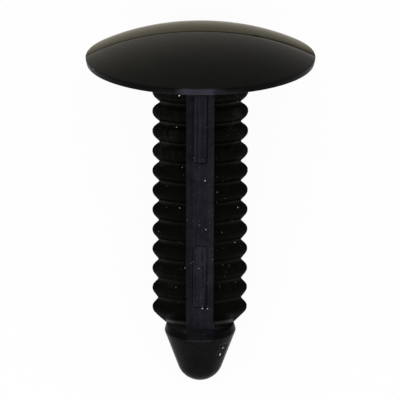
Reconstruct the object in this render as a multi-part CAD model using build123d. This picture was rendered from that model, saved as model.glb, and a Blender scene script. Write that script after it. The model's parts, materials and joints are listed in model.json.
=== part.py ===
from build123d import *
from math import acos, asin, atan2, copysign, cos, degrees, hypot, sin
import os

# Push rivet, moulded in one piece in black nylon. A shallow domed head, a shank of stacked
# rounded ribs that bend as they are pushed into a hole, a flat bar down the front and the back
# of the shank, and a tip with a round nose that finds the hole.
#
# Each sub-part is drawn upright: the rivet's own axis is Z, the head's underside is at Z = 0
# and the tip points down. The ribs are widest along X, and the bar faces -Y and +Y.
# The finished rivet is then laid down as it comes to rest: on the rim of its head and the rim
# of its tip, with the head towards +Y and one face of the bar upwards.

# Driving dimensions, in millimetres

# head
HEAD_DIAMETER = 20.2          # over the top edge of the rim
HEAD_RIM_HEIGHT = 0.55        # the short edge between underside and dome
HEAD_RIM_DRAFT = 0.12         # how far the underside's edge lies inside the rim's top edge
HEAD_DOME_RISE = 2.20         # the dome above the rim
HEAD_EDGE_ROUNDING = 0.08     # the rim's two edges

# plain stem between the head and the first rib
STEM_WIDTH = 7.80             # side to side, a little under the 8 mm hole that the rivet fits
STEM_LENGTH = 1.79            # from the head's underside to the start of the first rib

# ribs
RIB_COUNT = 12
RIB_PITCH = 1.8325            # crest to crest
RIB_UPPER_FLANK = 0.84        # height from a crest up to the valley on its head side
RIB_WIDTH = 8.46              # over the crests, side to side
RIB_THICKNESS = 3.30          # over the crests, front to back, without the bar
UPPER_ROUNDING = 0.90         # round back of a rib, on its head side
LOWER_ROUNDING = 1.15         # and on its tip side
VALLEY_DEPTH = 0.71           # first valley inside the crests, at the left and the right
VALLEY_SHALLOWING = 0.016     # how much shallower each valley is than the one above it
LAST_FLANK = 1.56             # height from the last crest down to the tip's shoulder
NECK_DEPTH = 1.26             # neck that meets the tip, inside the crests, at the left and the right

# bar
BAR_WIDTH = 2.46
BAR_STANDS_PROUD = 0.08       # bar face above the rib crests, at the middle
BAR_EDGE_ROUNDING = 0.06

# sunk panels in both faces of the bar
PANEL_WIDTH = 1.30
PANEL_DEPTH = 0.05
PANEL_CORNER_RADIUS = 0.30
UPPER_PANEL_START = 2.50      # below the head's underside
UPPER_PANEL_LENGTH = 6.34
LOWER_PANEL_LENGTH = 5.86
LOWER_PANEL_END = 2.00        # from its lower end to the lower end of the bar

# tip
SHOULDER_LEDGE = 0.06         # flat top of the tip outside the neck, at the left and the right
TIP_FLARE = 0.145             # from the shoulder's edge out to the widest place
TIP_RIM_DROP = 0.62           # from the shoulder down to the widest place
TIP_RIM_ROUNDING = 0.12
TIP_HEIGHT = 5.40             # from the shoulder to the end
NOSE_RADIUS = 2.06            # round end of the tip

# The rivet lies on two round rims, so nothing but friction keeps it from rolling. Head and tip
# are turned by half a facet of a 0.01 mm mesh, in degrees. That leaves their shape alone, and the
# meshed rivet lies on the middle of a facet of each rim.
HEAD_TURN = 1.8
TIP_TURN = 3.2143

# Sizes that follow from them

HEAD_RADIUS = HEAD_DIAMETER / 2
UNDERSIDE_RADIUS = HEAD_RADIUS - HEAD_RIM_DRAFT
HEAD_APEX = HEAD_RIM_HEIGHT + HEAD_DOME_RISE
FIRST_CREST_DEPTH = STEM_LENGTH + RIB_UPPER_FLANK
LAST_CREST_DEPTH = FIRST_CREST_DEPTH + (RIB_COUNT - 1) * RIB_PITCH
SHOULDER_DEPTH = LAST_CREST_DEPTH + LAST_FLANK
TIP_RIM_DEPTH = SHOULDER_DEPTH + TIP_RIM_DROP
BAR_THICKNESS = RIB_THICKNESS + 2 * BAR_STANDS_PROUD
NECK_WIDTH = RIB_WIDTH - 2 * NECK_DEPTH
SHOULDER_RADIUS = NECK_WIDTH / 2 + SHOULDER_LEDGE
TIP_RIM_RADIUS = SHOULDER_RADIUS + TIP_FLARE

# The shank's section is a lens: two arcs that meet in an edge at the left and at the right. The
# arcs turn about two lines that lie LENS_OFFSET in front of and behind the rivet's own axis.
LENS_RADIUS = ((RIB_WIDTH / 2) ** 2 + (RIB_THICKNESS / 2) ** 2) / RIB_THICKNESS
LENS_OFFSET = LENS_RADIUS - RIB_THICKNESS / 2


def lens_arc(width):
    """Radius of the lens's arcs where the lens is this wide from side to side."""
    return hypot(width / 2, LENS_OFFSET)


def valley_width(number):
    """Width of the lens at a valley, counted from 0 at the head."""
    return RIB_WIDTH - 2 * (VALLEY_DEPTH - number * VALLEY_SHALLOWING)


def touching_angle(centre, radius, point):
    """Where a line from the point touches a circle: the angle at the circle's centre, upwards
    from the horizontal, of the lower of the two places."""
    across, up = point[0] - centre[0], point[1] - centre[1]
    return atan2(up, across) - acos(radius / hypot(across, up))


def make_head():
    """Flat underside, short drafted rim and a dome that is part of a ball."""
    ball = (HEAD_RADIUS**2 + HEAD_DOME_RISE**2) / (2 * HEAD_DOME_RISE)
    halfway = asin(HEAD_RADIUS / ball) / 2
    halfway_point = (ball * sin(halfway), HEAD_APEX - ball * (1 - cos(halfway)))
    rim_top = (HEAD_RADIUS, HEAD_RIM_HEIGHT)
    with BuildPart() as head:
        with BuildSketch(Plane.XZ) as section:
            with BuildLine():
                Polyline((0, HEAD_APEX), (0, 0), (UNDERSIDE_RADIUS, 0), rim_top)
                ThreePointArc(rim_top, halfway_point, (0, HEAD_APEX))
            make_face()
            rim_corners = section.vertices().filter_by(lambda corner: corner.X > UNDERSIDE_RADIUS / 2)
            fillet(rim_corners, HEAD_EDGE_ROUNDING)
        revolve(axis=Axis.Z)
    return Rot(0, 0, HEAD_TURN) * head.part


def make_stem():
    """Plain stem with the lens section. It ends inside the first rib."""
    with BuildPart() as stem:
        with BuildSketch():
            with Locations((0, LENS_OFFSET)):
                Circle(lens_arc(STEM_WIDTH))
            with Locations((0, -LENS_OFFSET)):
                Circle(lens_arc(STEM_WIDTH), mode=Mode.INTERSECT)
        extrude(amount=-FIRST_CREST_DEPTH)
    return stem.part


def add_flank(crest, valley, rounding):
    """One side of a rib: an arc that leaves the crest along the axis, then a straight slope to
    the valley."""
    towards = copysign(1, valley[1] - crest[1])
    drop = abs(valley[1] - crest[1])
    turn = touching_angle((crest[0] - rounding, 0), rounding, (valley[0], drop))
    arc = JernArc(crest, (0, towards), rounding, towards * degrees(turn))
    Line(arc @ 1, valley)


def add_rib_outline():
    """Outline of all ribs, from the first valley down to the neck, closed along the axis that
    the arcs of one side turn about."""
    first_valley = (lens_arc(valley_width(0)), -STEM_LENGTH)
    valley = first_valley
    for rib in range(RIB_COUNT):
        crest = (lens_arc(RIB_WIDTH), -FIRST_CREST_DEPTH - rib * RIB_PITCH)
        add_flank(crest, valley, UPPER_ROUNDING)
        if rib < RIB_COUNT - 1:
            valley = (lens_arc(valley_width(rib + 1)), crest[1] - RIB_PITCH + RIB_UPPER_FLANK)
        else:
            valley = (lens_arc(NECK_WIDTH), -SHOULDER_DEPTH)
        add_flank(crest, valley, LOWER_ROUNDING)
    Polyline(valley, (0, valley[1]), (0, first_valley[1]), first_valley)


def make_ribs():
    """Ribbed shank: what two ribbed round bodies, one behind the other, have in common."""
    with BuildPart() as ribbed_round:
        with BuildSketch(Plane.XZ):
            with BuildLine():
                add_rib_outline()
            make_face()
        revolve(axis=Axis.Z)
    front, back = (Pos(0, side * LENS_OFFSET, 0) * ribbed_round.part for side in (1, -1))
    return front & back


def make_bar():
    """Flat bar from the head to the tip's shoulder, with two sunk panels in each face."""
    upper_panel = (UPPER_PANEL_START, UPPER_PANEL_LENGTH)
    lower_panel = (SHOULDER_DEPTH - LOWER_PANEL_END - LOWER_PANEL_LENGTH, LOWER_PANEL_LENGTH)
    with BuildPart() as bar:
        with BuildSketch() as section:
            Rectangle(BAR_WIDTH, BAR_THICKNESS)
            fillet(section.vertices(), BAR_EDGE_ROUNDING)
        extrude(amount=-SHOULDER_DEPTH)
        for side in (1, -1):
            with BuildSketch(Plane.XZ.offset(side * BAR_THICKNESS / 2)):
                for start, length in (upper_panel, lower_panel):
                    with Locations((0, -start - length / 2)):
                        RectangleRounded(PANEL_WIDTH, length, PANEL_CORNER_RADIUS)
            extrude(amount=-side * PANEL_DEPTH, mode=Mode.SUBTRACT)
    return bar.part


def make_tip():
    """Flat shoulder, short flare out to the rim, straight taper and a ball for a nose."""
    shoulder_edge = (SHOULDER_RADIUS, -SHOULDER_DEPTH)
    rim = (TIP_RIM_RADIUS, -TIP_RIM_DEPTH)
    end = -SHOULDER_DEPTH - TIP_HEIGHT
    ball_centre = (0, end + NOSE_RADIUS)
    taper_end = touching_angle(ball_centre, NOSE_RADIUS, rim)
    touch = (NOSE_RADIUS * cos(taper_end), ball_centre[1] + NOSE_RADIUS * sin(taper_end))
    with BuildPart() as tip:
        with BuildSketch(Plane.XZ) as section:
            with BuildLine():
                Polyline((0, end), (0, -SHOULDER_DEPTH), shoulder_edge, rim, touch)
                TangentArc(touch, (0, end), tangent=(touch[0] - rim[0], touch[1] - rim[1]))
            make_face()
            fillet(section.vertices().sort_by(Axis.X)[-1], TIP_RIM_ROUNDING)
        revolve(axis=Axis.Z)
    return Rot(0, 0, TIP_TURN) * tip.part


def lay_down(upright):
    """Turn the rivet about X until the rims of head and tip both touch the ground, and put the
    middle of its box above the origin."""
    slope = degrees(atan2(UNDERSIDE_RADIUS - TIP_RIM_RADIUS, TIP_RIM_DEPTH))
    lying = Rot(slope - 90, 0, 0) * upright
    box = lying.bounding_box()
    return Pos(-box.center().X, -box.center().Y, -box.min.Z) * lying


rivet = lay_down(make_head() + make_stem() + make_ribs() + make_bar() + make_tip())
rivet.label = "rivet_body"
os.makedirs("parts", exist_ok=True)
export_step(rivet, "parts/rivet_body.step")
print("solids", len(rivet.solids()), "volume", round(rivet.volume, 1), "box", rivet.bounding_box())
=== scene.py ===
# %% [markdown]
# # A push rivet in black nylon
#
# The real thing is one moulding: a domed head, twelve round ribs that bend as they are pushed
# into a hole, a flat bar down the front and the back, and a pointed tip. It is dressed here as
# one closed skin, because a moulding has no seams between its parts. The skin could also be cut
# together from a disc, rings and a box with Booleans, but then every rib edge would need repair.
# One grid that follows the form gives clean edges everywhere, so that way was chosen.

# %% Load the frame
import json
import math

import bpy
import numpy as np
from mathutils import Matrix, Vector


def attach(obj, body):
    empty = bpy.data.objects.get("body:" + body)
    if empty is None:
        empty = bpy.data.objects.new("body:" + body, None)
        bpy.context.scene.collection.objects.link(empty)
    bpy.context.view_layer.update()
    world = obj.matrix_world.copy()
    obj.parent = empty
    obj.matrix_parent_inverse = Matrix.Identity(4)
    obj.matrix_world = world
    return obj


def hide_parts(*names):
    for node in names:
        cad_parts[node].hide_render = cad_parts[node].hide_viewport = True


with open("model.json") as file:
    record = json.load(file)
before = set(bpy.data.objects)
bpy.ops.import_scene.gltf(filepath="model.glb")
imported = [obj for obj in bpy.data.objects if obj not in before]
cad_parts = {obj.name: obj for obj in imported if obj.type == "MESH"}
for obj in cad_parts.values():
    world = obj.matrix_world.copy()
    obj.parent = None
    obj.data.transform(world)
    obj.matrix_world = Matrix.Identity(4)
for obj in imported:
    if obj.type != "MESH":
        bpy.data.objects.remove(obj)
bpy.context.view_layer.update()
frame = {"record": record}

MM = 0.001

# %% [markdown]
# ## Where the rivet lies
#
# A rivet is easiest to work out upright, with its own axis as Z. Put down loose, it lies on the
# rim of its head and the rim of its tip. The frame's record says where the axis is: the shank's
# mount starts at the middle of the head's underside and points to the tip. Every surface below is
# made upright in millimetres and then turned once into that place.

# %% From upright millimetres to the place in the frame
mount = next(m for m in frame["record"]["mounts"] if m["name"] == "shank")
seat_place = np.array(mount["pos_m"])
towards_tip = np.array(mount["axis"]) / np.linalg.norm(mount["axis"])
sideways = np.array([1.0, 0.0, 0.0])
towards_back = np.cross(-towards_tip, sideways)
AXES = np.array([sideways, towards_back, -towards_tip])


def lie_down(points):
    """Points (x, y, z) upright in mm become seat_place + x * sideways + y * back + z * up."""
    return seat_place + (np.asarray(points) * MM) @ AXES


print("slope of the axis", round(math.degrees(math.asin(-towards_tip[2])), 2), "degrees")

# %% [markdown]
# ## Driving sizes
#
# All sizes are millimetres of the real rivet. Depths are measured from the head's underside
# towards the tip.

# %% Sizes
HEAD_RADIUS = 10.10
RIM_HEIGHT = 0.55
RIM_DRAFT = 0.12
RIM_ROUNDING = 0.08
DOME_RISE = 2.20
CROWN_FULLNESS = 0.05
SHOULDER_FULLNESS = 0.25

STEM_WIDTH = 7.80
STEM_LENGTH = 1.79

RIB_COUNT = 12
RIB_PITCH = 1.8325
RIB_UPPER_FLANK = 0.84
RIB_WIDTH = 8.46
RIB_THICKNESS = 3.30
UPPER_ROUNDING = 0.90
LOWER_ROUNDING = 1.15
ROOT_WIDTH = 7.04
ROOT_GROWTH = 0.032
LAST_FLANK = 1.56
NECK_WIDTH = 5.94
VALLEY_FILLET = 0.07

BAR_HALF_WIDTH = 1.23
BAR_HALF_THICKNESS = 1.73
BAR_EDGE = 0.06

PANEL_HALF_WIDTH = 0.65
PANEL_DEPTH = 0.05
PANEL_CORNER = 0.30
PANEL_STEP = 0.035
PANEL_LINE = 0.035
PANEL_LINE_DEPTH = 0.06
UPPER_PANEL = (2.50, 8.84)
LOWER_PANEL_LENGTH = 5.86
LOWER_PANEL_END = 2.00

SHOULDER_RADIUS = 3.02
TIP_RIM_RADIUS = 3.20
TIP_RIM_DROP = 0.62
SHOULDER_ROUNDING = 0.05
TIP_RIM_ROUNDING = 0.24
TIP_HEIGHT = 5.40
NOSE_RADIUS = 2.09
print("head", 2 * HEAD_RADIUS, "mm;", RIB_COUNT, "ribs of", RIB_WIDTH, "by", RIB_THICKNESS, "mm")

# %% Sizes that follow
LENS_RADIUS = ((RIB_WIDTH / 2) ** 2 + (RIB_THICKNESS / 2) ** 2) / RIB_THICKNESS
LENS_OFFSET = LENS_RADIUS - RIB_THICKNESS / 2
FIRST_CREST = STEM_LENGTH + RIB_UPPER_FLANK
LAST_CREST = FIRST_CREST + (RIB_COUNT - 1) * RIB_PITCH
SHOULDER_DEPTH = LAST_CREST + LAST_FLANK
TIP_END = SHOULDER_DEPTH + TIP_HEIGHT
lower_panel_start = SHOULDER_DEPTH - LOWER_PANEL_END - LOWER_PANEL_LENGTH
LOWER_PANEL = (lower_panel_start, SHOULDER_DEPTH - LOWER_PANEL_END)
UNDERSIDE_RADIUS = HEAD_RADIUS - RIM_DRAFT
depths = {"last crest": LAST_CREST, "shoulder": SHOULDER_DEPTH, "end": TIP_END}
print({name: round(depth, 3) for name, depth in depths.items()})

# %% [markdown]
# ## The ribbed shank as a lens of changing size
#
# Every slice of the shank is a lens: two arcs that meet in an edge at the left and the right. Only
# the arcs' radius changes along the axis, so the whole ribbed shank is one number per depth. That
# number falls from each crest along a round back and then a straight slope, down to a valley with
# a very small fillet, which is what catches a thin line of light on the real one.


# %% The arcs' radius at each depth
def arc_radius(width):
    """Radius of the arcs where the lens is this wide: hypotenuse of half width and offset."""
    return np.hypot(np.asarray(width) / 2, LENS_OFFSET)


def flank(height, run, drop, rounding):
    """How far a rib's side has fallen at a height from its crest. A circle of radius rounding
    falls by r - sqrt(r^2 - h^2) until its slope points straight at the valley, which lies run away
    and drop lower. From there the side is straight. Also returns the straight part's slope."""
    across = rounding - drop
    turn = np.arctan2(run, across) - np.arccos(rounding / np.hypot(across, run))
    knee = rounding * np.sin(turn)
    slope = np.tan(turn)
    on_arc = rounding - np.sqrt(np.maximum(rounding**2 - np.minimum(height, knee) ** 2, 0))
    return on_arc + np.maximum(height - knee, 0) * slope, slope


def shank_radius(depth):
    """Arc radius of the ribbed shank at each depth. Each depth belongs to the rib whose crest is
    nearest below its valley, and a parabola with the flanks' mean curvature rounds each valley."""
    depth = np.asarray(depth, float)
    rib = np.clip(np.floor((depth - STEM_LENGTH) / RIB_PITCH), 0, RIB_COUNT - 1)
    offset = depth - (FIRST_CREST + rib * RIB_PITCH)
    above = offset < 0
    valley_above = ROOT_WIDTH + rib * ROOT_GROWTH
    last = rib == RIB_COUNT - 1
    valley_below = np.where(last, NECK_WIDTH, ROOT_WIDTH + (rib + 1) * ROOT_GROWTH)
    run = np.where(above, RIB_UPPER_FLANK, np.where(last, LAST_FLANK, RIB_PITCH - RIB_UPPER_FLANK))
    drop = arc_radius(RIB_WIDTH) - arc_radius(np.where(above, valley_above, valley_below))
    rounding = np.where(above, UPPER_ROUNDING, LOWER_ROUNDING)
    fallen, slope = flank(np.abs(offset), run, drop, rounding)
    to_valley = run - np.abs(offset)
    fillet = slope / (2 * VALLEY_FILLET) * np.maximum(VALLEY_FILLET - to_valley, 0) ** 2
    fillet = np.where(last & ~above, 0, fillet)
    return arc_radius(RIB_WIDTH) - fallen + fillet


ROWS_ABOVE, ROWS_BELOW = 12, 13
CROWDING = 1.5
PANEL_END_ROWS = np.linspace(-0.12, 0.12, 9)


def rib_depths():
    """Depths of the grid's rows over all ribs: an even spacing raised to the power CROWDING, which
    starts out slowly, so that rows lie closer together near the valleys. Those below a crest are
    moved up by half a first step, because the valley's own row belongs to the next rib."""
    rows = []
    for rib in range(RIB_COUNT):
        crest = FIRST_CREST + rib * RIB_PITCH
        below = LAST_FLANK if rib == RIB_COUNT - 1 else RIB_PITCH - RIB_UPPER_FLANK
        from_valley = np.linspace(0, 1, ROWS_ABOVE, endpoint=False) ** CROWDING
        to_valley = np.linspace(0, 1, ROWS_BELOW, endpoint=False) ** CROWDING
        rows.append(crest - RIB_UPPER_FLANK * (1 - from_valley))
        rows.append(crest + below * (1 - to_valley[::-1]) - 0.5 * below * to_valley[1])
    return np.unique(np.concatenate(rows).round(4))


panel_ends = np.add.outer([*UPPER_PANEL, *LOWER_PANEL], PANEL_END_ROWS).ravel()
shank_depths = np.unique(np.concatenate([rib_depths(), panel_ends, [SHOULDER_DEPTH]]).round(4))
shank_depths = shank_depths[shank_depths >= STEM_LENGTH]
narrowest = float(shank_radius(shank_depths).min())
print(len(shank_depths), "rows along the ribs; narrowest arc", round(narrowest, 3))

# %% [markdown]
# ## One quarter of a slice
#
# The skin's columns follow the form, not an even angle: some run down the bar's face, some turn
# its corner, some go down its side wall and the rest follow the lens to the sharp edge at the
# side. So every edge of the real part has its own line of points and stays crisp.

# %% The slice's quarter from the middle of the bar to the side edge
IN_PANEL_STEPS = np.linspace(0, 0.56, 8)
PANEL_EDGE_STEPS = np.linspace(0.60, 0.70, 6)
BESIDE_PANEL_STEPS = np.linspace(0.78, 1.17, 6)
FACE_STEPS = np.concatenate([IN_PANEL_STEPS, PANEL_EDGE_STEPS, BESIDE_PANEL_STEPS])
CORNER_STEPS = np.radians([30, 60])
WALL_STEPS = np.array([0.0, 0.5])
LENS_STEPS = np.linspace(0, 1, 25)


def quarter_slice(radius):
    """x and y of a quarter slice, one row per arc radius. The bar's face is at y = -half
    thickness, its corner is a quarter circle, its wall drops to the lens, and the lens is
    x = R sin a, y = offset - R cos a, from the bar to where y is 0."""
    radius = np.asarray(radius, float)[:, None]
    rows = len(radius)
    face_x = np.repeat(FACE_STEPS[None], rows, 0)
    face_y = np.full_like(face_x, -BAR_HALF_THICKNESS)
    corner_x = BAR_HALF_WIDTH - BAR_EDGE + BAR_EDGE * np.sin(CORNER_STEPS)[None]
    corner_y = -BAR_HALF_THICKNESS + BAR_EDGE - BAR_EDGE * np.cos(CORNER_STEPS)[None]
    corner_x, corner_y = np.repeat(corner_x, rows, 0), np.repeat(corner_y, rows, 0)
    start = np.arcsin(BAR_HALF_WIDTH / radius)
    foot = LENS_OFFSET - radius * np.cos(start)
    top = -BAR_HALF_THICKNESS + BAR_EDGE
    wall_y = np.minimum(top, foot) + (foot - np.minimum(top, foot)) * WALL_STEPS
    wall_x = np.full_like(wall_y, BAR_HALF_WIDTH)
    end = np.arccos(LENS_OFFSET / radius)
    angle = start + (end - start) * LENS_STEPS
    lens_x, lens_y = radius * np.sin(angle), LENS_OFFSET - radius * np.cos(angle)
    lens_y[:, -1] = 0
    x = np.hstack([face_x, corner_x, wall_x, lens_x])
    y = np.hstack([face_y, corner_y, wall_y, lens_y])
    return x, y


def all_round(quarter_x, quarter_y):
    """A whole slice from its quarter, mirrored to the back and to the left, each seam once."""
    half_x = np.hstack([quarter_x, quarter_x[:, -2::-1]])
    half_y = np.hstack([quarter_y, -quarter_y[:, -2::-1]])
    return np.hstack([half_x, -half_x[:, -2:0:-1]]), np.hstack([half_y, half_y[:, -2:0:-1]])


shank_x, shank_y = all_round(*quarter_slice(shank_radius(shank_depths)))
COLUMNS = shank_x.shape[1]
print(COLUMNS, "columns round each slice")

# %% [markdown]
# ## Head and tip on the same columns
#
# The head and the tip are round, so their rows are circles, but they use the shank's columns. The
# shank's end slices give each column its direction. Between a slice and a circle lies a flat ring,
# the head's underside or the tip's shoulder. The columns beside the left and right edge keep a
# fixed distance from it, because the mould's parting line runs there over the dome.

# %% Circles whose columns start from a slice
PARTING_COLUMNS = np.array([0.0, 0.02, 0.045, 0.08, 0.14])
TINY = 1e-6


def column_angles(slice_x, slice_y, radii, parted):
    """Angles of the columns on circles of the given radii. They start as the directions of the
    slice's points. With parted, the columns next to the side edges lie at fixed distances from
    the plane y = 0 instead: angle = distance / radius, but never past their own direction."""
    quarter = np.arctan2(slice_x, -slice_y)
    angles = np.repeat(quarter[None], len(radii), 0)
    if parted:
        from_side = math.pi / 2 - angles[:, -len(PARTING_COLUMNS):]
        wanted = PARTING_COLUMNS[::-1][None] / np.maximum(radii, TINY)[:, None]
        angles[:, -len(PARTING_COLUMNS):] = math.pi / 2 - np.minimum(from_side, wanted)
    return angles


def rings(radii, angles):
    """Quarter circles: x = r sin a, y = -r cos a, then taken all round."""
    quarter_x, quarter_y = radii[:, None] * np.sin(angles), -radii[:, None] * np.cos(angles)
    quarter_y[:, -1] = 0
    return all_round(quarter_x, quarter_y)


def rounded_corner(before, corner, after, rounding, steps=4):
    """Points that replace a profile's corner by an arc: they lie on the parabola whose control
    point is the corner and whose ends are one tangent length away on both sides."""
    before, corner, after = (np.array(p, float) for p in (before, corner, after))
    one, two = before - corner, after - corner
    one, two = one / np.linalg.norm(one), two / np.linalg.norm(two)
    half = math.acos(float(np.clip(one @ two, -1, 1))) / 2
    reach = rounding / math.tan(half)
    t = np.linspace(0, 1, steps)[:, None]
    start, end = corner + reach * one, corner + reach * two
    return (1 - t) ** 2 * start + 2 * t * (1 - t) * corner + t**2 * end


print("columns beside the parting plane at", PARTING_COLUMNS.tolist(), "mm")


# %% The head's profile, from the underside's outer part to just beside the top
DOME_BALL = (HEAD_RADIUS**2 + DOME_RISE**2) / (2 * DOME_RISE)
APEX = RIM_HEIGHT + DOME_RISE
NEAR_RIM = 0.3
BESIDE_POLE = 0.03
UNDERSIDE_STEPS = np.linspace(4.6, 9.6, 6)
DOME_START, DOME_END, DOME_ROWS = HEAD_RADIUS - 0.25, 0.5, 40


def dome_height(radius):
    """Height of the dome over the underside at a distance from the axis: part of a ball, plus a
    slight fullness (1 - u^2) (a + b u^2), where u is the distance as a share of the radius."""
    share = (np.asarray(radius, float) / HEAD_RADIUS) ** 2
    fullness = (1 - share) * (CROWN_FULLNESS + SHOULDER_FULLNESS * share)
    return APEX - DOME_BALL + np.sqrt(DOME_BALL**2 - np.asarray(radius, float) ** 2) + fullness


rim_bottom = (UNDERSIDE_RADIUS, 0)
rim_top = (HEAD_RADIUS, RIM_HEIGHT)
near_rim_top = (HEAD_RADIUS - NEAR_RIM, float(dome_height(HEAD_RADIUS - NEAR_RIM)))
underside = np.column_stack([UNDERSIDE_STEPS, np.zeros(len(UNDERSIDE_STEPS))])
lower_edge = rounded_corner((0, 0), rim_bottom, rim_top, RIM_ROUNDING)
upper_edge = rounded_corner(rim_bottom, rim_top, near_rim_top, RIM_ROUNDING)
even_radii = np.linspace(DOME_START, DOME_END, DOME_ROWS)
dome_radii = np.concatenate([even_radii, [0.3, 0.12, BESIDE_POLE]])
dome = np.column_stack([dome_radii, dome_height(dome_radii)])
head_profile = np.vstack([underside, lower_edge, upper_edge, dome])
HEAD_ROWS = len(head_profile)
print("head profile of", HEAD_ROWS, "points, top at", round(APEX + CROWN_FULLNESS, 2))

# %% The tip's profile, from the shoulder to just beside the end
ball_depth = TIP_END - NOSE_RADIUS
rim_depth = SHOULDER_DEPTH + TIP_RIM_DROP
from_ball = np.array([TIP_RIM_RADIUS, ball_depth - rim_depth])
nose_start = math.atan2(from_ball[1], from_ball[0]) - math.acos(NOSE_RADIUS / np.hypot(*from_ball))
taper_end = (NOSE_RADIUS * math.cos(nose_start), ball_depth - NOSE_RADIUS * math.sin(nose_start))
shoulder = (SHOULDER_RADIUS, SHOULDER_DEPTH)
tip_rim = (TIP_RIM_RADIUS, rim_depth)
shoulder_edge = rounded_corner((0, SHOULDER_DEPTH), shoulder, tip_rim, SHOULDER_ROUNDING, 3)
tip_edge = rounded_corner(shoulder, tip_rim, taper_end, TIP_RIM_ROUNDING)
taper = np.linspace(tip_edge[-1], taper_end, 40)[1:]
nose_angles = np.linspace(nose_start, -math.pi / 2, 20)[1:-1]
nose_depth = ball_depth - NOSE_RADIUS * np.sin(nose_angles)
nose = np.column_stack([NOSE_RADIUS * np.cos(nose_angles), nose_depth])
tip_profile = np.vstack([shoulder_edge, tip_edge, taper, nose, [[BESIDE_POLE, TIP_END]]])
print("tip profile of", len(tip_profile), "points; nose from", round(math.degrees(nose_start), 1))

# %% [markdown]
# ## All rows in one grid
#
# The rows run from beside the dome's top over the rim and the underside, down the stem and the
# ribs, over the shoulder to the nose. The plain stem and the first slice of the ribs share the
# head's underside, so nothing is left open. A pole point closes each end.

# %% Build the grid
stem_depths = np.array([0.0, 0.6, 1.2, STEM_LENGTH - 0.02])
stem_x, stem_y = all_round(*quarter_slice(np.full(len(stem_depths), arc_radius(STEM_WIDTH))))
stem_quarter = [q[0] for q in quarter_slice(arc_radius([STEM_WIDTH]))]
neck_quarter = [q[0] for q in quarter_slice(arc_radius([NECK_WIDTH]))]
head_x, head_y = rings(head_profile[:, 0], column_angles(*stem_quarter, head_profile[:, 0], True))
tip_x, tip_y = rings(tip_profile[:, 0], column_angles(*neck_quarter, tip_profile[:, 0], False))

grid_x = np.vstack([head_x[::-1], stem_x, shank_x, tip_x])
grid_y = np.vstack([head_y[::-1], stem_y, shank_y, tip_y])
row_depth = np.concatenate([-head_profile[::-1, 1], stem_depths, shank_depths, tip_profile[:, 1]])
grid_depth = np.repeat(row_depth[:, None], COLUMNS, 1)
print("grid of", grid_x.shape[0], "rows and", COLUMNS, "columns")

# %% [markdown]
# ## Marks of the mould and of use
#
# The two long panels on each face of the bar are sunk by a few hundredths, with rounded corners.
# A soft step in a signed distance does that. A fine groove over the dome, with one small pit in
# it, is where the halves of the mould met. The tip came out a little off the axis, and it has a
# small gouge and a pit in its side. All of these could be sculpted, but a formula per mark keeps
# each one in its place and easy to change.


# %% Sunk panels
def smooth(edge_low, edge_high, value):
    """A soft step from 0 to 1 between two values: 3 t^2 - 2 t^3."""
    t = np.clip((value - edge_low) / (edge_high - edge_low), 0, 1)
    return t * t * (3 - 2 * t)


def bell(value, width):
    """A bell curve, exp of -(value / width) squared."""
    return np.exp(-((value / width) ** 2))


def panel_sink(x, depth, ends):
    """How deep a panel is sunk: full inside a rounded rectangle and none outside. The signed
    distance to it is the length of the part beyond its inner corners, less the corner radius. A
    fine line, a bell curve of that distance, is cut a little deeper along the panel's edge."""
    middle, half = (ends[0] + ends[1]) / 2, (ends[1] - ends[0]) / 2
    beyond_x = np.maximum(np.abs(x) - (PANEL_HALF_WIDTH - PANEL_CORNER), 0)
    beyond_z = np.maximum(np.abs(depth - middle) - (half - PANEL_CORNER), 0)
    distance = np.hypot(beyond_x, beyond_z) - PANEL_CORNER
    line = PANEL_LINE_DEPTH * bell(distance + PANEL_LINE, PANEL_LINE)
    return PANEL_DEPTH * smooth(PANEL_STEP / 2, -PANEL_STEP / 2, distance) + line


on_face = np.abs(grid_x) < BAR_HALF_WIDTH - BAR_EDGE / 2
on_face &= np.abs(np.abs(grid_y) - BAR_HALF_THICKNESS) < TINY
on_face &= (grid_depth > 0) & (grid_depth <= SHOULDER_DEPTH)
sunk = panel_sink(grid_x, grid_depth, UPPER_PANEL) + panel_sink(grid_x, grid_depth, LOWER_PANEL)
grid_y = np.where(on_face, grid_y - np.sign(grid_y) * sunk, grid_y)
print("panels sunk on", int((on_face & (sunk > 0)).sum()), "points")

# %% Parting groove over the dome
GROOVE_DEPTH = 0.060
GROOVE_HALF_WIDTH = 0.050
GROOVE_DEEPENING, GROOVE_WIDENING = 0.15, 0.2
DOME_PIT_X, DOME_PIT_HALF_WIDTH, DOME_PIT_DEPTH = 4.82, 0.10, 0.085
on_dome = grid_depth < -RIM_HEIGHT + 0.02
to_the_right = smooth(2.0, 6.0, grid_x)
groove = bell(grid_y, GROOVE_HALF_WIDTH * (1 + GROOVE_WIDENING * to_the_right))
groove = GROOVE_DEPTH * (1 + GROOVE_DEEPENING * to_the_right) * groove
dome_pit = DOME_PIT_DEPTH * bell(np.hypot(grid_x - DOME_PIT_X, grid_y), DOME_PIT_HALF_WIDTH)
groove = (groove + dome_pit) * on_dome
grid_depth = grid_depth + groove
print("groove on", int((groove > 0.01).sum()), "points")

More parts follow.
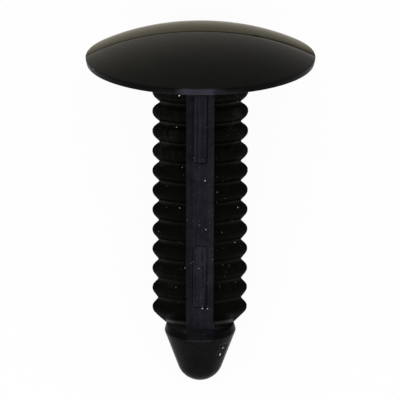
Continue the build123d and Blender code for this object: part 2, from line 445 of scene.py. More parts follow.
# %% Tip off the axis, and the gouge in it
TIP_SHIFT = 0.055
BEND_ROWS = 8
TIP_ROW = grid_x.shape[0] - len(tip_profile)
NECK_ROW = TIP_ROW - BEND_ROWS
GOUGE_FROM, GOUGE_TO = np.array([1.98, 26.00]), np.array([1.72, 26.80])
GOUGE_HALF_WIDTH, GOUGE_DEPTH = 0.17, 0.12
PIT_AT, PIT_HALF_WIDTH, PIT_DEPTH = np.array([1.98, 25.80]), 0.13, 0.22
BELOW_TIP_RIM = SHOULDER_DEPTH + 0.7
place = np.stack([grid_x, grid_depth], -1)
along = GOUGE_TO - GOUGE_FROM
reached = np.clip((place - GOUGE_FROM) @ along / (along @ along), 0, 1)
off_line = np.linalg.norm(place - GOUGE_FROM - reached[..., None] * along, axis=-1)
off_pit = np.linalg.norm(place - PIT_AT, axis=-1)
gouge = GOUGE_DEPTH * bell(off_line, GOUGE_HALF_WIDTH) + PIT_DEPTH * bell(off_pit, PIT_HALF_WIDTH)
gouge = gouge * (grid_y < 0) * (grid_depth > BELOW_TIP_RIM)
kept_share = 1 - gouge / np.maximum(np.hypot(grid_x, grid_y), TINY)
grid_x, grid_y = grid_x * kept_share, grid_y * kept_share
bend = np.clip(np.arange(len(grid_x) - NECK_ROW)[:, None] / BEND_ROWS, 0, 1)
grid_x[NECK_ROW:] += TIP_SHIFT * bend
print("gouge on", int((gouge > 0.01).sum()), "points")

# %% [markdown]
# ## The skin's mesh
#
# The grid becomes one closed mesh: a quad between each two neighbours, the last column joined to
# the first, and a fan of triangles at each pole. The rows came out of the mould a little out of
# square, those of the head less than those of the ribs, so the depths are sheared to suit.


# %% Mesh from a closed grid
LAYER_FIELDS = {"FLOAT": "value", "FLOAT_VECTOR": "vector", "FLOAT_COLOR": "color"}


def add_layer(mesh, name, kind, values):
    """A layer of the mesh that holds one number, vector or colour for each point."""
    layer = mesh.attributes.new(name, kind, "POINT")
    layer.data.foreach_set(LAYER_FIELDS[kind], values.astype(np.float32).ravel())


def closed_skin(name, x, y, depth, first_pole, last_pole):
    """One mesh from rows of closed loops. Corner numbers are row * columns + column, and quads
    join each to its right and lower neighbour, so that the faces point outwards."""
    rows, columns = x.shape
    points = np.stack([x, y, -depth], -1).reshape(-1, 3)
    points = np.vstack([points, [[0, 0, -first_pole], [0, 0, -last_pole]]])
    index = np.arange(rows * columns).reshape(rows, columns)
    right = np.roll(index, -1, 1)
    quads = np.stack([index[:-1], index[1:], right[1:], right[:-1]], -1).reshape(-1, 4)
    top, bottom = rows * columns, rows * columns + 1
    top_fan = np.stack([np.full(columns, top), index[0], right[0]], -1)
    bottom_fan = np.stack([np.full(columns, bottom), right[-1], index[-1]], -1)
    mesh = bpy.data.meshes.new(name)
    faces = quads.tolist() + top_fan.tolist() + bottom_fan.tolist()
    mesh.from_pydata(lie_down(points).tolist(), [], faces)
    mesh.update()
    mesh.shade_smooth()
    add_layer(mesh, "axis_place", "FLOAT_VECTOR", points)
    return mesh, points


OUT_OF_SQUARE = math.radians(0.5)
HEAD_LEAN = math.radians(0.3)
on_head = np.arange(len(grid_x))[:, None] < HEAD_ROWS
askew = math.tan(OUT_OF_SQUARE) - math.tan(HEAD_LEAN) * on_head
dome_pole = -APEX - CROWN_FULLNESS
skin_mesh, skin_points = closed_skin(
    "rivet_skin", grid_x, grid_y, grid_depth - grid_x * askew, dome_pole, TIP_END)
rivet_skin = bpy.data.objects.new("rivet_skin", skin_mesh)
bpy.context.scene.collection.objects.link(rivet_skin)
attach(rivet_skin, "root")
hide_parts("rivet_body")
print("skin:", len(skin_mesh.vertices), "points,", len(skin_mesh.polygons), "faces")

# %% [markdown]
# ## Crisp edges
#
# Smooth shading alone would smear light over the bar's corners and the valleys. Edges that turn
# by more than a set angle are marked sharp, as on a hard moulding.

# %% Mark sharp edges
SHARP_ANGLE = math.radians(38)
skin_mesh.set_sharp_from_angle(angle=SHARP_ANGLE)
sharp = np.zeros(len(skin_mesh.edges), bool)
skin_mesh.edges.foreach_get("use_edge_sharp", sharp)
print("sharp edges:", int(sharp.sum()), "of", len(sharp))

# %% [markdown]
# ## Pale marks and painted light on the black
#
# Pale marks are painted onto the black. Most are painted highlights: the front of the rim, the
# bottom of each valley, the bend above the tip with the ledge under it, and the tip's rim. The
# dome's left side has a painted warm reflection, the smudges on the ribs carry painted light under
# the head, and the right strip of the bar is a touch paler. Painting by hand would do, but a
# smooth function of
# the place on the rivet stays with the form when a size changes. Two layers go onto the mesh:
# marks is a colour that is added to the nylon's own black, and shade is a share that the black is
# multiplied by, which also holds painted shade and painted light.

# %% Where each point is
mark_x, mark_y = skin_points[:, 0], skin_points[:, 1]
mark_depth = np.append(grid_depth.ravel(), [-APEX, TIP_END])
side_x = np.abs(mark_x)
from_axis = np.hypot(mark_x, mark_y)
on_shank = (mark_depth > 0.01) & (mark_depth < SHOULDER_DEPTH - 0.001)
beside_bar = on_shank & (side_x > BAR_HALF_WIDTH + 0.02)


WAVES = 9
SHORTENING = 0.72


def wander(points, seed, longest=6.0):
    """Soft noise, mostly between -1 and 1: the sum of sines along random directions, whose
    wavelengths in mm fall from the longest by a constant factor, over the root of twice their
    number."""
    draw = np.random.default_rng(seed)
    total = np.zeros(len(points))
    for wave in range(WAVES):
        direction = draw.normal(size=3)
        direction *= 2 * np.pi / (longest * SHORTENING**wave) / np.linalg.norm(direction)
        total += np.sin(points @ direction + draw.uniform(0, 2 * np.pi))
    return total / math.sqrt(WAVES / 2) / 2


print("points on the shank:", int(on_shank.sum()), "and beside the bar:", int(beside_bar.sum()))


# %% Painted highlight along the rim
# A painted highlight: a pale bluish band on the front of the rim, strongest in the middle, stands
# for the front light that it catches.
RIM_HIGHLIGHT = np.array([0.027, 0.026, 0.036])
RIM_HIGHLIGHT_BESIDE = 0.27
uneven = np.clip(1 + 0.7 * wander(skin_points, 3), 0.2, 2)
patchy = 0.6 + 0.4 * uneven
highlight_height = RIM_HEIGHT * (0.40 + 0.62 * smooth(2.6, 1.6, side_x))
in_middle = smooth(-2.2, -1.4, mark_x) * smooth(1.45, 0.8, mark_x)
on_rim = (from_axis > UNDERSIDE_RADIUS - 0.15) * (mark_depth < 0.03)
rim_highlight = smooth(3.9, 3.0, side_x) * (RIM_HIGHLIGHT_BESIDE + (1 - RIM_HIGHLIGHT_BESIDE) * in_middle)
rim_highlight = rim_highlight * smooth(0.04, -0.04, -mark_depth - highlight_height) * on_rim * patchy
print("rim rub at most", round(float(rim_highlight.max()), 2))

# %% Painted highlights in the valleys, and smudges with painted light on the ribs
# Painted highlights: a thin pale line at each valley stands for the light that its fillet catches.
# It is stronger near the silhouettes, and stronger under the head to paint light over the head's
# shadow.
VALLEY_HIGHLIGHT = np.array([0.0074, 0.0074, 0.0064])
past_valley = (mark_depth - STEM_LENGTH + RIB_PITCH / 2) % RIB_PITCH - RIB_PITCH / 2
valley_highlight = np.where(past_valley < 0, bell(past_valley, 0.08), bell(past_valley, 0.15))
valley_highlight = valley_highlight * beside_bar * (mark_depth > STEM_LENGTH) * (mark_depth < LAST_CREST)
painted_light_under_head = 1 + 1.2 * smooth(8.0, 3.0, mark_depth)
more_at_sides = 0.62 + 1.15 * smooth(2.2, 3.4, -mark_x) + 0.6 * smooth(2.2, 3.4, mark_x)
valley_highlight = valley_highlight * (0.7 + 0.3 * uneven) * painted_light_under_head * more_at_sides

# Mottled pale smudges on the ribs beside the bar, plus painted light: they grow stronger towards
# the head, and an even lift there paints over the head's shadow.
SMUDGE_AND_LIGHT = np.array([0.0034, 0.0034, 0.0026])
smudge_and_light = beside_bar * smooth(0.25, 0.9, wander(skin_points, 5, longest=3.0))
smudge_and_light = smudge_and_light * smooth(1.6, 2.8, side_x)
low_at_left = bell(mark_depth - 20.0, 1.5) * (mark_x < 0)
smudge_and_light = smudge_and_light * (0.3 + 1.3 * smooth(12, 6, mark_depth) + 1.1 * low_at_left)
smudge_and_light = smudge_and_light + 0.35 * beside_bar * smooth(7.0, 3.0, mark_depth)
print("valley rub at most", round(float(valley_highlight.max()), 2))

# %% Painted highlight on the bend above the tip, and painted light on the ledge under it
# A painted highlight: the bend above the tip is paler towards the silhouettes, where it catches
# light, and fades at its foot.
NECK_HIGHLIGHT = np.array([0.0150, 0.0150, 0.0140])
to_shoulder = SHOULDER_DEPTH - mark_depth
by_neck = (side_x > BAR_HALF_WIDTH + 0.02) & (from_axis < SHOULDER_RADIUS - 0.02)
by_neck &= mark_depth < SHOULDER_DEPTH + 0.005
neck_highlight = by_neck * (smooth(0.55, 0.20, to_shoulder) + 0.04 * smooth(1.4, 0.7, to_shoulder))
more_at_sides = 4.5 + 3.0 * smooth(1.9, 2.8, -mark_x) + 2.5 * smooth(2.1, 2.8, mark_x)
dark_foot = 1 - 0.85 * smooth(0.06, 0, to_shoulder)
neck_highlight = neck_highlight * dark_foot * more_at_sides * patchy

# Painted light: the front of the ledge faces up and lies in shade under the bar's end, and it is
# painted paler.
LEDGE_LIGHT = np.array([0.0080, 0.0075, 0.0100])
ledge_light = bell(to_shoulder, 0.03) * (from_axis < SHOULDER_RADIUS + 0.02) * (mark_y < 0)
ledge_light = ledge_light * smooth(1.7, 1.2, side_x)
print("neck rub at most", round(float(neck_highlight.max()), 2))

# %% Painted highlight on the tip's rim, and grainy tones round it
# A painted highlight: a thin pale line along the front of the tip's rim.
TIP_RIM_HIGHLIGHT = np.array([0.0156, 0.0156, 0.0169])
tip_rim_highlight = bell(mark_depth - rim_depth, 0.06) * smooth(1.3, 0.9, side_x)
tip_rim_highlight = tip_rim_highlight * (from_axis > SHOULDER_RADIUS)

FLARE_TONE = np.array([0.0018, 0.0015, 0.0030])
flare = smooth(rim_depth - 0.02, rim_depth - 0.12, mark_depth)
flare = flare * (mark_depth > SHOULDER_DEPTH - 0.01)
flare_grain = np.clip(wander(skin_points, 9, longest=0.8) + 0.6, 0, 2)
below = (mark_depth > rim_depth) * smooth(rim_depth + 2.2, rim_depth + 0.8, mark_depth)
below_grain = np.clip(wander(skin_points, 11, longest=0.8) + 0.5, 0, 2)
flare = flare * smooth(1.6, 1.1, side_x) * flare_grain
flare = flare + 0.8 * below * smooth(1.2, 0.6, side_x) * below_grain
print("tip rub at most", round(float(tip_rim_highlight.max()), 2))

# %% Paler strip of the bar, and a painted reflection on the dome's left side
STRIP_TONE = np.array([0.0022, 0.0026, 0.0008])
on_front_face = (side_x < BAR_HALF_WIDTH + 0.01) & (mark_y < 0.2 - BAR_HALF_THICKNESS) & on_shank
strip = on_front_face * smooth(0.68, 0.80, mark_x) * smooth(22.6, 20.6, mark_depth)

# A painted reflection: a warm pale tone on the dome's left side, growing towards the back, stands
# for warm light mirrored there.
DOME_LEFT_REFLECTION = np.array([0.0090, 0.0086, 0.0058])
on_top = mark_depth < -RIM_HEIGHT - 0.02
dome_left_reflection = on_top * smooth(7.0, -9.0, mark_x) * (0.25 + 0.75 * smooth(-8.0, -1.0, mark_y))
print("points under the veil:", int((dome_left_reflection > 0.1).sum()))

# %% All painted highlights and pale marks on the mesh
marks = sum(paint[:, None] * tone for paint, tone in (
    (rim_highlight, RIM_HIGHLIGHT), (valley_highlight, VALLEY_HIGHLIGHT), (smudge_and_light, SMUDGE_AND_LIGHT), (neck_highlight, NECK_HIGHLIGHT),
    (tip_rim_highlight, TIP_RIM_HIGHLIGHT), (flare, FLARE_TONE), (strip, STRIP_TONE), (ledge_light, LEDGE_LIGHT),
    (dome_left_reflection, DOME_LEFT_REFLECTION)))
add_layer(skin_mesh, "marks", "FLOAT_COLOR", np.column_stack([marks, np.ones(len(marks))]))
print("paler points:", int((marks.max(1) > 0.001).sum()))

# %% Shares of the nylon's own black, with painted shade and painted light
LEFT_STRIP_SHADE, PANEL_SHADE, FLARE_PAINTED_SHADE = 0.82, 1.38, 0.30
LINE_PAINTED_SHADE, GOUGE_DARKENING = 0.7, 0.8
PANEL_STREAK, PLAIN_STREAK = 0.95, 0.35
HALO_X, HALO_DEPTH, HALO_LENGTHENING = 1.95, 26.15, 1.6
on_bar = on_shank & (side_x < BAR_HALF_WIDTH + 0.01)
on_bar &= np.abs(mark_y) > BAR_HALF_THICKNESS - 0.2
sinks = [panel_sink(mark_x, mark_depth, ends) for ends in (UPPER_PANEL, LOWER_PANEL)]
in_panel = on_bar & (sum(sinks) > PANEL_DEPTH / 2)
shade = np.ones(len(skin_points))
shade = np.where(on_bar & ~in_panel & (mark_x < -PANEL_HALF_WIDTH), LEFT_STRIP_SHADE, shade)
shade = np.where(in_panel, PANEL_SHADE, shade)
# Painted light: the bar's lower end is painted paler, against the shade near the shoulder.
bar_end_light = 1 + 0.22 * smooth(22.0, 22.8, mark_depth) + 0.25 * smooth(23.3, 24.0, mark_depth)
shade = np.where(on_bar, shade * bar_end_light, shade)
# Painted shade: the flare under the last rib is darker.
on_flare = (mark_depth > SHOULDER_DEPTH - 0.001) & (mark_depth < rim_depth - 0.04)
shade = np.where(on_flare, FLARE_PAINTED_SHADE, shade)
# Painted shade along each panel's outline groove.
for sink in sinks:
    edge_line = np.clip((sink - PANEL_DEPTH) / PANEL_LINE_DEPTH, 0, 1)
    shade = np.where(on_bar, shade * (1 - LINE_PAINTED_SHADE * edge_line), shade)
# Painted shade on the ribs next to the bar, in the corner between them.
shade = np.where(beside_bar, shade * (0.55 + 0.45 * smooth(1.3, 2.3, side_x)), shade)
off_halo = np.hypot(mark_x - HALO_X, (mark_depth - HALO_DEPTH) / HALO_LENGTHENING)
halo = 1 - GOUGE_DARKENING * smooth(0.6, 0.25, off_halo)
shade = np.where((mark_depth > rim_depth) & (mark_y < 0), shade * halo, shade)
add_layer(skin_mesh, "shade", "FLOAT", shade)
add_layer(skin_mesh, "streak", "FLOAT", np.where(in_panel, PANEL_STREAK, PLAIN_STREAK))
print("darker points:", int((shade < 0.95).sum()))

# %% [markdown]
# ## Black nylon, in the finishes that the mould left
#
# The same nylon comes out of the mould with different faces: the dome is evenly satin, neutral on
# its front half and olive on its back half, the rim is duller, the ribs are polished and nearly
# pure black, the bar is drawn, and the tip lies between. The bar's tone is also paler and a little
# bluish, a painted reflection of the front light. One function makes all of them, so that they
# stay one material. Each has fine noise in its tone, its roughness and its bump, and the bar adds
# streaks that run along the rivet.


# %% Small helpers for nodes
def node(tree, kind, **inputs):
    """A new node of a kind, with its input sockets set by name."""
    made = tree.nodes.new(kind)
    for name, value in inputs.items():
        made.inputs[name.replace("_", " ")].default_value = value
    return made


def stored(tree, name):
    """The outputs of a node that reads one of the mesh's layers."""
    made = node(tree, "ShaderNodeAttribute")
    made.attribute_name = name
    return made.outputs


def maths(tree, operation, one, two):
    """Two values put together. The second may be a plain number."""
    made = node(tree, "ShaderNodeMath")
    made.operation = operation
    tree.links.new(one, made.inputs[0])
    if isinstance(two, float):
        made.inputs[1].default_value = two
    else:
        tree.links.new(two, made.inputs[1])
    return made.outputs["Value"]


def scaled(tree, colour, strength):
    """A fixed colour multiplied by a value."""
    made = node(tree, "ShaderNodeVectorMath")
    made.operation = "SCALE"
    made.inputs[0].default_value = colour
    tree.links.new(strength, made.inputs["Scale"])
    return made.outputs["Vector"]


def noise(tree, coordinates, per_mm, detail=3.0, stretch=1.0):
    """Noise with so many features per millimetre. Stretch makes them longer along the rivet."""
    placed = node(tree, "ShaderNodeMapping", Scale=(per_mm, per_mm, per_mm / stretch))
    tree.links.new(coordinates, placed.inputs["Vector"])
    made = node(tree, "ShaderNodeTexNoise", Scale=1.0, Detail=detail, Roughness=0.6)
    tree.links.new(placed.outputs["Vector"], made.inputs["Vector"])
    return made.outputs["Fac"]


def spread(tree, value, low, high, between=(0.3, 0.7)):
    """The noise's usual range turned into a range of our own."""
    made = node(tree, "ShaderNodeMapRange",
                From_Min=between[0], From_Max=between[1], To_Min=low, To_Max=high)
    tree.links.new(value, made.inputs["Value"])
    return made.outputs["Result"]


helpers = (node, stored, maths, scaled, noise, spread)
print("helpers:", ", ".join(helper.__name__ for helper in helpers))

# %% One function for every finish
CLOUDS_PER_MM, GRAIN_PER_MM, STREAKS_PER_MM = 0.9, 7.0, 4.5
STREAK_STRETCH = 30.0
ROUGHNESS_SPREAD = 0.05
RELIEF = 0.01 * MM
SHEEN_ROUGHNESS = 0.3
SHEEN_TINT = (1.0, 0.85, 0.42, 1)


def drawn_grain(tree, place, grain):
    """The grain mixed with streaks along the rivet, by the share in the streak layer."""
    streaks = noise(tree, place, STREAKS_PER_MM, detail=4.0, stretch=STREAK_STRETCH)
    made = node(tree, "ShaderNodeMix")
    made.data_type = "FLOAT"
    tree.links.new(stored(tree, "streak")["Fac"], made.inputs["Factor"])
    tree.links.new(grain, made.inputs["A"])
    tree.links.new(spread(tree, streaks, 0.2, 0.8, between=(0.36, 0.64)), made.inputs["B"])
    return made.outputs["Result"]


def nylon_finish(name, tone, ior, roughness, streaked=False, mottle=0.25, bump=0.12, sheen=0.0):
    """Black nylon. Its colour is tone * shade * two noises + marks. A streaked finish takes the
    finer noise from the streak layer's mix of grain and lines drawn out along the rivet."""
    made = bpy.data.materials.new(name)
    made.use_nodes = True
    tree = made.node_tree
    shader = tree.nodes["Principled BSDF"]
    shader.inputs["IOR"].default_value = ior
    shader.inputs["Sheen Weight"].default_value = sheen
    shader.inputs["Sheen Roughness"].default_value = SHEEN_ROUGHNESS
    shader.inputs["Sheen Tint"].default_value = SHEEN_TINT
    place = stored(tree, "axis_place")["Vector"]
    clouds = noise(tree, place, CLOUDS_PER_MM)
    grain = noise(tree, place, GRAIN_PER_MM)
    if streaked:
        grain = drawn_grain(tree, place, grain)
    cloudy = spread(tree, clouds, 1 - mottle, 1 + mottle)
    grainy = spread(tree, grain, 1 - mottle, 1 + mottle)
    strength = maths(tree, "MULTIPLY", cloudy, grainy)
    strength = maths(tree, "MULTIPLY", strength, stored(tree, "shade")["Fac"])
    summed = node(tree, "ShaderNodeVectorMath")
    summed.operation = "ADD"
    tree.links.new(scaled(tree, tone, strength), summed.inputs[0])
    tree.links.new(stored(tree, "marks")["Color"], summed.inputs[1])
    tree.links.new(summed.outputs["Vector"], shader.inputs["Base Color"])
    rough = spread(tree, clouds, roughness - ROUGHNESS_SPREAD, roughness + ROUGHNESS_SPREAD)
    tree.links.new(rough, shader.inputs["Roughness"])
    relief = node(tree, "ShaderNodeBump", Strength=bump, Distance=RELIEF)
    tree.links.new(grain, relief.inputs["Height"])
    tree.links.new(relief.outputs["Normal"], shader.inputs["Normal"])
    return made


print("streaks are", STREAK_STRETCH, "times as long as wide")

# %% The finishes
finishes = {
    "dome front": nylon_finish(
        "nylon_dome_front", (0.0052, 0.0051, 0.0046), 1.07, 0.26,
        mottle=0.1, bump=0.05, sheen=0.10),
    "dome back": nylon_finish(
        "nylon_dome_back", (0.0022, 0.0020, 0.0010), 1.035, 0.20,
        mottle=0.1, bump=0.05, sheen=0.22),
    "rim": nylon_finish("nylon_rim", (0.0020, 0.0020, 0.0022), 1.105, 0.35, mottle=0.3),
    "ribs": nylon_finish("nylon_polished_ribs", (0.0013, 0.0013, 0.0010), 1.08, 0.32, mottle=0.3),
    # The bar's tone is paler and bluish, a painted reflection of the front light on its flat face;
    # its streaks are drawn.
    "bar": nylon_finish(
        "nylon_drawn_bar", (0.0118, 0.0110, 0.0148), 1.08, 0.50, streaked=True, mottle=0.36),
    "tip": nylon_finish("nylon_tip", (0.0046, 0.0044, 0.0044), 1.095, 0.28, mottle=0.3),
}
for finish in finishes.values():
    skin_mesh.materials.append(finish)
print("finishes:", ", ".join(finishes))

# %% Give each part of the skin its finish
bar_columns = len(FACE_STEPS) + len(CORNER_STEPS) + len(WALL_STEPS) - 1
column = np.arange(COLUMNS)
half = COLUMNS // 2
from_front = np.minimum(column, COLUMNS - 1 - column)
from_middle = np.minimum(from_front, half - 1 - from_front)
face_row, face_column = np.meshgrid(np.arange(grid_x.shape[0] - 1), column, indexing="ij")
order = list(finishes)
region = np.full(face_row.shape, order.index("ribs"))
region[from_middle[face_column] < bar_columns] = order.index("bar")
region[face_row < HEAD_ROWS] = order.index("rim")
dome_side = np.where(from_front < half / 2, order.index("dome front"), order.index("dome back"))
region = np.where(face_row < len(dome_radii), dome_side[face_column], region)
region[face_row >= TIP_ROW - 1] = order.index("tip")
fans = np.concatenate([dome_side, np.full(COLUMNS, order.index("tip"))])
finish_numbers = np.concatenate([region.ravel(), fans]).astype(np.int32)
skin_mesh.polygons.foreach_set("material_index", finish_numbers)
print({name: int((region == k).sum()) for k, name in enumerate(order)})

# %% [markdown]
# ## Dust
#
# Black shows dust. The specks are tiny lumps that lie on the front of the shank, most of them
# beside the bar and in its panels. Real lumps were chosen rather than a speckled colour, because
# they also break the outline of the light. Two more lie by the rim of the head, and four bigger
# ones are the torn edge of the gouge.

# %% Where the specks lie
SPECK_COUNT = 300
SPECK_REACH = 3.7
NEAR_BAR_SHARE, NEAR_BAR_SPREAD = 0.6, 1.5
dice = np.random.default_rng(12)
near_bar = dice.random(SPECK_COUNT) < NEAR_BAR_SHARE
close = dice.normal(0, NEAR_BAR_SPREAD, SPECK_COUNT)
anywhere = dice.uniform(-SPECK_REACH, SPECK_REACH, SPECK_COUNT)
speck_x = np.clip(np.where(near_bar, close, anywhere), -SPECK_REACH, SPECK_REACH)
speck_depth = dice.uniform(2.0, SHOULDER_DEPTH - 0.6, SPECK_COUNT)
speck_size = 0.014 + 0.022 * dice.random(SPECK_COUNT) ** 2
speck_tone = 0.03 + 0.22 * dice.random(SPECK_COUNT) ** 3
fine_specks = np.column_stack([speck_x, speck_depth, speck_size, speck_tone])
print(len(fine_specks), "fine specks")

# %% Specks with a place of their own
# On the shank: x, depth, size and tone.
BRIGHT_SPECKS = np.array([
    (0.25, 22.40, 0.055, 0.60), (0.70, 22.42, 0.055, 0.55), (0.44, 10.40, 0.060, 0.70),
    (0.53, 14.96, 0.050, 0.60), (-2.08, 5.67, 0.050, 0.50), (3.34, 13.27, 0.060, 0.45),
    (-0.10, 18.60, 0.045, 0.45), (-1.32, 18.66, 0.045, 0.35), (3.10, 16.60, 0.045, 0.30),
    (3.31, 3.55, 0.045, 0.35), (-1.57, 9.33, 0.040, 0.40), (1.52, 11.55, 0.040, 0.30),
    (-2.93, 11.19, 0.040, 0.25), (-1.79, 13.10, 0.045, 0.40), (-0.03, 14.55, 0.040, 0.25),
    (0.09, 21.37, 0.040, 0.35), (1.15, 17.75, 0.035, 0.25), (1.81, 20.49, 0.035, 0.25),
    (1.96, 15.35, 0.038, 0.25), (-2.12, 20.58, 0.035, 0.20), (2.60, 18.71, 0.040, 0.20),
    (-0.55, 8.27, 0.035, 0.25)])

# Off the shank: x, y, depth, size and tone. Two lie by the head's rim and four by the gouge.
OTHER_SPECKS = np.array([
    (-1.81, -9.82, 0.08, 0.050, 0.60), (-9.28, -3.95, -0.50, 0.050, 0.25),
    (2.05, -1.93, 26.08, 0.080, 0.50), (2.15, -1.83, 26.07, 0.060, 0.30),
    (1.85, -1.84, 26.68, 0.090, 0.65), (1.81, -1.80, 26.82, 0.080, 0.50)])
print(len(BRIGHT_SPECKS), "bigger specks on the shank and", len(OTHER_SPECKS), "off it")

# %% Put all of them at the surface
# Those on the bar are set against its plain face, so some over a sunk panel stand a few hundredths
# of a millimetre clear of it.
speck_x, speck_depth, speck_size, speck_tone = np.vstack([fine_specks, BRIGHT_SPECKS]).T
rib_y = LENS_OFFSET - np.sqrt(shank_radius(speck_depth) ** 2 - speck_x**2)
speck_y = np.where(np.abs(speck_x) < BAR_HALF_WIDTH, -BAR_HALF_THICKNESS, rib_y)
speck_z = -speck_depth + speck_x * math.tan(OUT_OF_SQUARE)
shank_places = np.column_stack([speck_x, speck_y, speck_z])
speck_places = np.vstack([shank_places, OTHER_SPECKS[:, :3] * (1, 1, -1)])
speck_size = np.append(speck_size, OTHER_SPECKS[:, 3])
speck_tone = np.append(speck_tone, OTHER_SPECKS[:, 4])
print(len(speck_places), "specks")

# %% Their lumps
# A lump is an icosahedron: its corners are (+-1, +-golden ratio, 0) with the places turned round.
GOLDEN = (1 + math.sqrt(5)) / 2
lump = np.array([(a, b * GOLDEN, 0) for a in (-1, 1) for b in (-1, 1)])
lump = np.vstack([lump, np.roll(lump, 1, 1), np.roll(lump, 2, 1)]) / math.hypot(1, GOLDEN)
CORNERS = len(lump)
steps = np.linalg.norm(lump[:, None] - lump[None], axis=-1)
near = (steps > 0.1) & (steps < 1.2)
trios = np.array([(a, b, c) for a in range(CORNERS) for b in range(a) for c in range(b)
                  if near[a, b] and near[b, c] and near[a, c]])
trio_points = lump[trios]
first_point = trio_points[:, 0]
normals = np.cross(trio_points[:, 1] - first_point, trio_points[:, 2] - first_point)
inward = (normals * first_point).sum(1) < 0
trios[inward] = trios[inward][:, ::-1]
stretch = dice.uniform(0.6, 1.4, (len(speck_places), 1, 3))
knobbly = dice.uniform(0.75, 1.25, (len(speck_places), CORNERS, 1))
lumps = speck_places[:, None] + lump * stretch * speck_size[:, None, None] * knobbly
first_corners = CORNERS * np.arange(len(speck_places))[:, None, None]
speck_faces = (trios[None] + first_corners).reshape(-1, 3)
dust_mesh = bpy.data.meshes.new("dust_specks")
dust_mesh.from_pydata(lie_down(lumps.reshape(-1, 3)).tolist(), [], speck_faces.tolist())
dust_mesh.update()
add_layer(dust_mesh, "tone", "FLOAT", np.repeat(speck_tone, CORNERS))
dust = bpy.data.objects.new("dust_specks", dust_mesh)
bpy.context.scene.collection.objects.link(dust)
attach(dust, "root")
print("dust:", len(dust_mesh.polygons), "faces")

# %% Pale dust
DUST_COLOUR = (1.0, 0.98, 1.0)
DUST_MOTTLES_PER_M = 9000.0
dust_finish = bpy.data.materials.new("pale_dust")
dust_finish.use_nodes = True
tree = dust_finish.node_tree
shader = tree.nodes["Principled BSDF"]
shader.inputs["Roughness"].default_value = 0.9
shader.inputs["Specular IOR Level"].default_value = 0.1
dust_place = node(tree, "ShaderNodeTexCoord").outputs["Object"]
mottled = spread(tree, noise(tree, dust_place, DUST_MOTTLES_PER_M), 0.7, 1.3)
dust_tone = maths(tree, "MULTIPLY", mottled, stored(tree, "tone")["Fac"])
tree.links.new(scaled(tree, DUST_COLOUR, dust_tone), shader.inputs["Base Color"])
dust_mesh.materials.append(dust_finish)
print("dust tones from", round(speck_tone.min(), 2), "to", round(speck_tone.max(), 2))

# %% [markdown]
# ## Floor, light and camera
#
# The rivet lies on a sheet of white paper under an even white sky, with one soft lamp at the left.
# Black nylon shows little colour of its own. Most of what the eye sees is the white paper and sky
# mirrored at a low angle, so both are left plain. The paper is nearly white by itself: it glows a
# little where the eye or a mirrored ray meets it, and keeps a share of the rivet's soft shadow.

# %% Floor
FLOOR_HALF = 1.5
SHADOW_SHARE = 0.06
PAPER_WHITE = (0.93, 0.93, 0.93, 1)
floor_mesh = bpy.data.meshes.new("floor")
corner_signs = ((-1, -1), (1, -1), (1, 1), (-1, 1))
floor_corners = [(x * FLOOR_HALF, y * FLOOR_HALF, 0) for x, y in corner_signs]
floor_mesh.from_pydata(floor_corners, [], [(0, 1, 2, 3)])
floor = bpy.data.objects.new("floor", floor_mesh)
bpy.context.scene.collection.objects.link(floor)
paper = bpy.data.materials.new("white_paper")
paper.use_nodes = True
tree = paper.node_tree
sheet = tree.nodes["Principled BSDF"]
sheet.inputs["Base Color"].default_value = PAPER_WHITE
sheet.inputs["Roughness"].default_value = 0.9
bright = node(tree, "ShaderNodeEmission", Color=(1, 1, 1, 1), Strength=1.0)
path = node(tree, "ShaderNodeLightPath").outputs
mirrored = maths(tree, "MAXIMUM", path["Is Glossy Ray"], path["Is Transmission Ray"])
seen = maths(tree, "MAXIMUM", path["Is Camera Ray"], mirrored)
blend = node(tree, "ShaderNodeMixShader")
tree.links.new(maths(tree, "MULTIPLY", seen, 1 - SHADOW_SHARE), blend.inputs["Fac"])
tree.links.new(sheet.outputs["BSDF"], blend.inputs[1])
tree.links.new(bright.outputs["Emission"], blend.inputs[2])
tree.links.new(blend.outputs["Shader"], tree.nodes["Material Output"].inputs["Surface"])
floor_mesh.materials.append(paper)
print("paper of", 2 * FLOOR_HALF, "m")

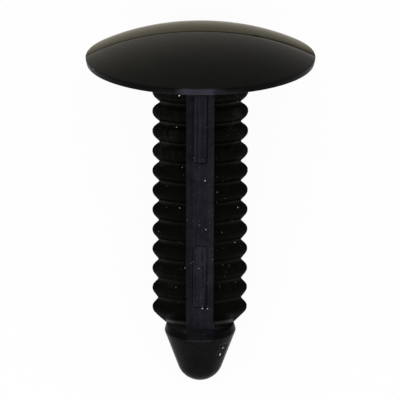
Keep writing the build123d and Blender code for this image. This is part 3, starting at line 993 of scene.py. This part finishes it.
# %% Light
SKY_STRENGTH = 1.0
LAMP_AT = Vector((-0.45, -0.30, 0.55))
LAMP_SIZE, LAMP_ENERGY = 0.45, 0.15
world = bpy.data.worlds.new("studio")
world.use_nodes = True
world.node_tree.nodes["Background"].inputs["Color"].default_value = (1, 1, 1, 1)
world.node_tree.nodes["Background"].inputs["Strength"].default_value = SKY_STRENGTH
bpy.context.scene.world = world
bpy.context.scene.view_settings.view_transform = "Standard"
lamp_data = bpy.data.lights.new("soft_lamp", "AREA")
lamp_data.shape = "DISK"
lamp_data.size = LAMP_SIZE
lamp_data.energy = LAMP_ENERGY
lamp = bpy.data.objects.new("soft_lamp", lamp_data)
lamp.location = LAMP_AT
lamp.rotation_euler = (-LAMP_AT).to_track_quat("-Z", "Y").to_euler()
bpy.context.scene.collection.objects.link(lamp)
print("lamp at", tuple(round(v, 2) for v in LAMP_AT))

# %% Camera
CAMERA_DISTANCE = 342.0
CAMERA_ELEVATION = math.radians(18.57)
FOCAL_SHARE = 3851 / 400
AIM_DEPTH = 12.768
ROLL = math.radians(0.2)
SENSOR_WIDTH = 36
aim = lie_down([[0, 0, -AIM_DEPTH]])[0]
towards_camera = AXES.T @ np.array([0, -math.cos(CAMERA_ELEVATION), math.sin(CAMERA_ELEVATION)])
picture_up = AXES.T @ np.array([0, math.sin(CAMERA_ELEVATION), math.cos(CAMERA_ELEVATION)])
picture_right = np.cross(picture_up, towards_camera)
rolled_right = picture_right * math.cos(ROLL) + picture_up * math.sin(ROLL)
rolled_up = picture_up * math.cos(ROLL) - picture_right * math.sin(ROLL)
camera_data = bpy.data.cameras.new("camera")
camera_data.sensor_width = SENSOR_WIDTH
camera_data.lens = SENSOR_WIDTH * FOCAL_SHARE
camera_data.clip_start = 0.01
camera = bpy.data.objects.new("camera", camera_data)
camera_place = aim + towards_camera * CAMERA_DISTANCE * MM
turned = np.column_stack([rolled_right, rolled_up, towards_camera, camera_place])
camera.matrix_world = Matrix([*turned.tolist(), [0, 0, 0, 1]])
bpy.context.scene.collection.objects.link(camera)
bpy.context.scene.camera = camera
print("camera at", [round(float(v), 4) for v in camera.matrix_world.translation])
